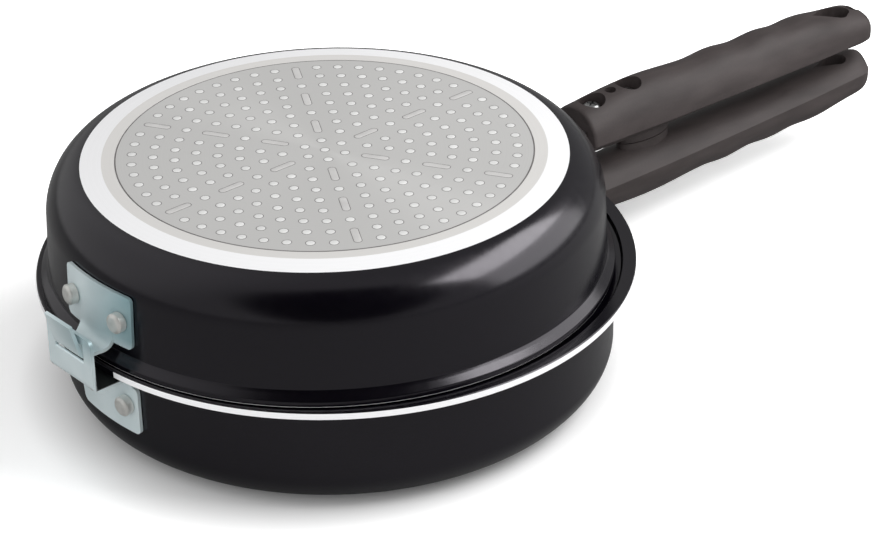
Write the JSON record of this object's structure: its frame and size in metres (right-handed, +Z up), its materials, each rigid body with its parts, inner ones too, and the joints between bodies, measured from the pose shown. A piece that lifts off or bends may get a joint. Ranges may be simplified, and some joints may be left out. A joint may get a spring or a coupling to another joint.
{
  "type": "double sided flip pan",
  "caption": "Double sided flip pan: round black pans shut mouth to mouth, joined by a hook and loop hinge, with moulded handles side by side, for cooking and turning omelettes on a hob.",
  "frame": {"origin": "centre of the lower pan's flat base, on the surface that the pan stands on", "axes": "+Z up, +X from the pan's centre along the handles; the hinge lies at -X, parallel to Y"},
  "size_m": [0.458, 0.2454, 0.1008],
  "materials": {
    "black_enamel": "glossy black enamel on cast aluminium, bare bright metal on the machined ring",
    "perforated_steel": "satin stainless sheet, with aluminium showing in its punched holes",
    "zinc_plated_steel": "bluish zinc plating, satin",
    "rivet_aluminium": "plain, satin",
    "tang_steel": "plated, satin",
    "moulded_handle": "warm black moulded phenolic, satin",
    "screw_steel": "bright plated",
    "magnet_metal": "nickel plated"
  },
  "bodies": {
    "lower": {"lower_pan": "black_enamel", "lower_base_disc": "perforated_steel", "loop_bracket": "zinc_plated_steel", "loop_rivet_left": "rivet_aluminium", "loop_rivet_right": "rivet_aluminium", "lower_handle_tang": "tang_steel", "lower_tang_rivet_left": "rivet_aluminium", "lower_tang_rivet_right": "rivet_aluminium", "lower_handle": "moulded_handle", "lower_handle_screw_1": "screw_steel", "lower_handle_screw_2": "screw_steel", "lower_magnet": "magnet_metal"},
    "upper": {"upper_pan": "black_enamel", "upper_base_disc": "perforated_steel", "hook_bracket": "zinc_plated_steel", "hook_rivet_left": "rivet_aluminium", "hook_rivet_right": "rivet_aluminium", "upper_handle_tang": "tang_steel", "upper_tang_rivet_left": "rivet_aluminium", "upper_tang_rivet_right": "rivet_aluminium", "upper_handle": "moulded_handle", "upper_handle_screw_1": "screw_steel", "upper_handle_screw_2": "screw_steel", "upper_magnet": "magnet_metal"}
  },
  "joints": [
    {"name": "flip_hinge", "type": "hinge", "parent": "lower", "child": "upper", "pos_m": [-0.1315, 0, 0.05715], "axis": [0, -1, 0], "range_deg": [0, 60]}
  ]
}
